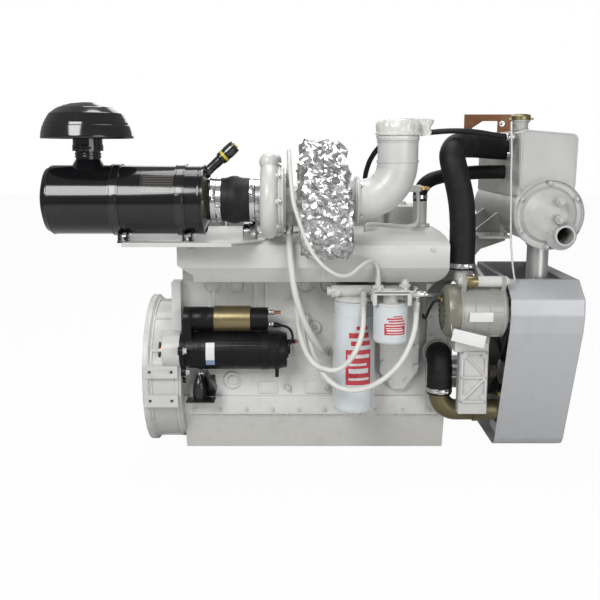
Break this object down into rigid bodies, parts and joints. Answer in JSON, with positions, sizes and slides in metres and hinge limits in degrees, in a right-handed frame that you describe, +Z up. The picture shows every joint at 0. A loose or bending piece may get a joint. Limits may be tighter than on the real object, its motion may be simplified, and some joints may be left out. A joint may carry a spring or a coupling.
{
  "type": "marine diesel engine",
  "caption": "Turbocharged inline marine diesel engine with starter, filters, alternator, belt guard, expansion tank, air filter and a flywheel housing that takes a gearbox.",
  "frame": {"origin": "on the crank axis at the flywheel housing's rear face, where a gearbox bolts on", "axes": "+X along the crank axis towards the belt end, +Z up, the turbocharger's side is -Y"},
  "size_m": [1.462, 0.7349, 1.0185],
  "materials": {
    "cast_paint": "semi-gloss enamel over cast texture",
    "inner_steel": "machined",
    "piston_alloy": "machined",
    "dark_iron": "dark, dull",
    "foil": "crumpled bright foil",
    "film": "thin milky film",
    "gloss_black": "gloss black",
    "filter_paper": "pleated paper",
    "bright_steel": "bright band steel",
    "black_rubber": "matt rubber",
    "black_plastic": "black plastic",
    "yellow_plastic": "yellow plastic",
    "starter_black": "satin black",
    "solenoid_brass": "dull yellow plating",
    "armature_copper": "wound core",
    "filter_can": "pale gloss paint with plain colour blocks",
    "white_hose": "white sleeve",
    "alternator_paint": "satin grey",
    "tank_paint": "grey enamel",
    "cap_brass": "dull plating",
    "olive_zinc": "olive zinc plating",
    "guard_paint": "silver grey sheet"
  },
  "bodies": {
    "engine": {"cylinder_block": "cast_paint", "cylinder_head": "cast_paint", "valve_covers": "cast_paint", "charge_air_pipe": "cast_paint", "exhaust_manifold": "cast_paint", "flywheel_housing": "cast_paint", "oil_pan": "cast_paint", "gear_housing": "cast_paint", "oil_cooler_cover": "cast_paint", "casting_bolts": "cast_paint", "compressor_housing": "cast_paint", "bearing_housing": "dark_iron", "turbine_housing": "dark_iron", "foil_wrap": "foil", "exhaust_elbow": "cast_paint", "outlet_film": "film", "air_filter_body": "gloss_black", "air_filter_element": "filter_paper", "rain_cap": "gloss_black", "band_clamps": "bright_steel", "filter_shelf": "cast_paint", "inlet_hose": "black_rubber", "restriction_indicator": "black_plastic", "starter_motor": "starter_black", "starter_solenoid": "solenoid_brass", "stop_solenoid": "starter_black", "oil_filter": "filter_can", "filter_head": "cast_paint", "coolant_filter": "filter_can", "oil_drain_hose": "white_hose", "oil_feed_hose": "white_hose", "filter_supply_hose": "white_hose", "filter_return_hose": "white_hose", "alternator_body": "alternator_paint", "alternator_bracket": "cast_paint", "water_pump": "cast_paint", "drive_belt": "black_rubber", "expansion_tank": "tank_paint", "heat_exchanger_cover": "tank_paint", "coolant_hoses": "black_rubber", "lower_coolant_pipe": "olive_zinc", "belt_guard": "guard_paint", "fuel_pump": "cast_paint"},
    "crank": {"crankshaft": "inner_steel", "flywheel": "inner_steel", "damper_pulley": "dark_iron"},
    "cam": {"camshaft": "inner_steel"},
    "pistons_outer": {"outer_pistons": "piston_alloy"},
    "pistons_middle": {"middle_pistons": "piston_alloy"},
    "pistons_inner": {"inner_pistons": "piston_alloy"},
    "turbo_shaft": {"turbo_rotor": "inner_steel"},
    "starter_shaft": {"starter_armature": "armature_copper"},
    "pinion": {"starter_pinion": "inner_steel"},
    "alternator_shaft": {"alternator_rotor": "inner_steel"},
    "pump_shaft": {"water_pump_pulley": "dark_iron"},
    "tensioner": {"tensioner_arm": "dark_iron"},
    "tensioner_wheel": {"tensioner_pulley": "inner_steel"},
    "filler_lid": {"filler_cap": "cap_brass"},
    "valve_lever": {"shutoff_valve": "inner_steel"},
    "button": {"indicator_button": "yellow_plastic"}
  },
  "joints": [
    {"name": "crank_spin", "type": "hinge", "parent": "engine", "child": "crank", "pos_m": [0.4, 0, 0], "axis": [1, 0, 0], "continuous": true},
    {"name": "cam_spin", "type": "hinge", "parent": "engine", "child": "cam", "pos_m": [0.4, 0.08496, 0.10491], "axis": [1, 0, 0], "continuous": true},
    {"name": "alternator_spin", "type": "hinge", "parent": "engine", "child": "alternator_shaft", "pos_m": [0.9, -0.28, 0.23], "axis": [1, 0, 0], "continuous": true},
    {"name": "water_pump_spin", "type": "hinge", "parent": "engine", "child": "pump_shaft", "pos_m": [0.95, 0.045, 0.19], "axis": [1, 0, 0], "continuous": true},
    {"name": "tensioner_swing", "type": "hinge", "parent": "engine", "child": "tensioner", "pos_m": [1, -0.12, -0.02], "axis": [1, 0, 0], "range_deg": [0, 10], "stiffness_Nm_per_rad": 40, "springref_deg": -28.65},
    {"name": "tensioner_wheel_spin", "type": "hinge", "parent": "tensioner", "child": "tensioner_wheel", "pos_m": [1.05, -0.20061, 0.03395], "axis": [1, 0, 0], "continuous": true},
    {"name": "turbo_spin", "type": "hinge", "parent": "engine", "child": "turbo_shaft", "pos_m": [0.44, -0.3, 0.537], "axis": [1, 0, 0], "continuous": true},
    {"name": "starter_spin", "type": "hinge", "parent": "engine", "child": "starter_shaft", "pos_m": [0.25, -0.18571, 0.09544], "axis": [1, 0, 0], "continuous": true},
    {"name": "pinion_slide", "type": "slide", "parent": "starter_shaft", "child": "pinion", "axis": [-1, 0, 0], "range_m": [0, 0.019], "stiffness_N_per_m": 200},
    {"name": "outer_piston_slide", "type": "slide", "parent": "engine", "child": "pistons_outer", "axis": [0, 0, 1], "range_m": [-0.12, 0]},
    {"name": "middle_piston_slide", "type": "slide", "parent": "engine", "child": "pistons_middle", "axis": [0, 0, 1], "range_m": [-0.0228, 0.0972]},
    {"name": "inner_piston_slide", "type": "slide", "parent": "engine", "child": "pistons_inner", "axis": [0, 0, 1], "range_m": [-0.0228, 0.0972]},
    {"name": "cap_lift", "type": "slide", "parent": "engine", "child": "filler_lid", "axis": [0, 0, 1], "range_m": [0, 0.06]},
    {"name": "valve_turn", "type": "hinge", "parent": "engine", "child": "valve_lever", "pos_m": [0.768, -0.33, 0.295], "axis": [0, 0, 1], "range_deg": [0, 90]},
    {"name": "button_press", "type": "slide", "parent": "engine", "child": "button", "axis": [-0.7431, 0, -0.6691], "range_m": [0, 0.003], "stiffness_N_per_m": 500}
  ],
  "couplings": [
    {"joint": "cam_spin", "follows": "crank_spin", "ratio": -0.5},
    {"joint": "alternator_spin", "follows": "crank_spin", "ratio": 2.5},
    {"joint": "water_pump_spin", "follows": "crank_spin", "ratio": 1.2308},
    {"joint": "tensioner_wheel_spin", "follows": "crank_spin", "ratio": -2.2857}
  ]
}
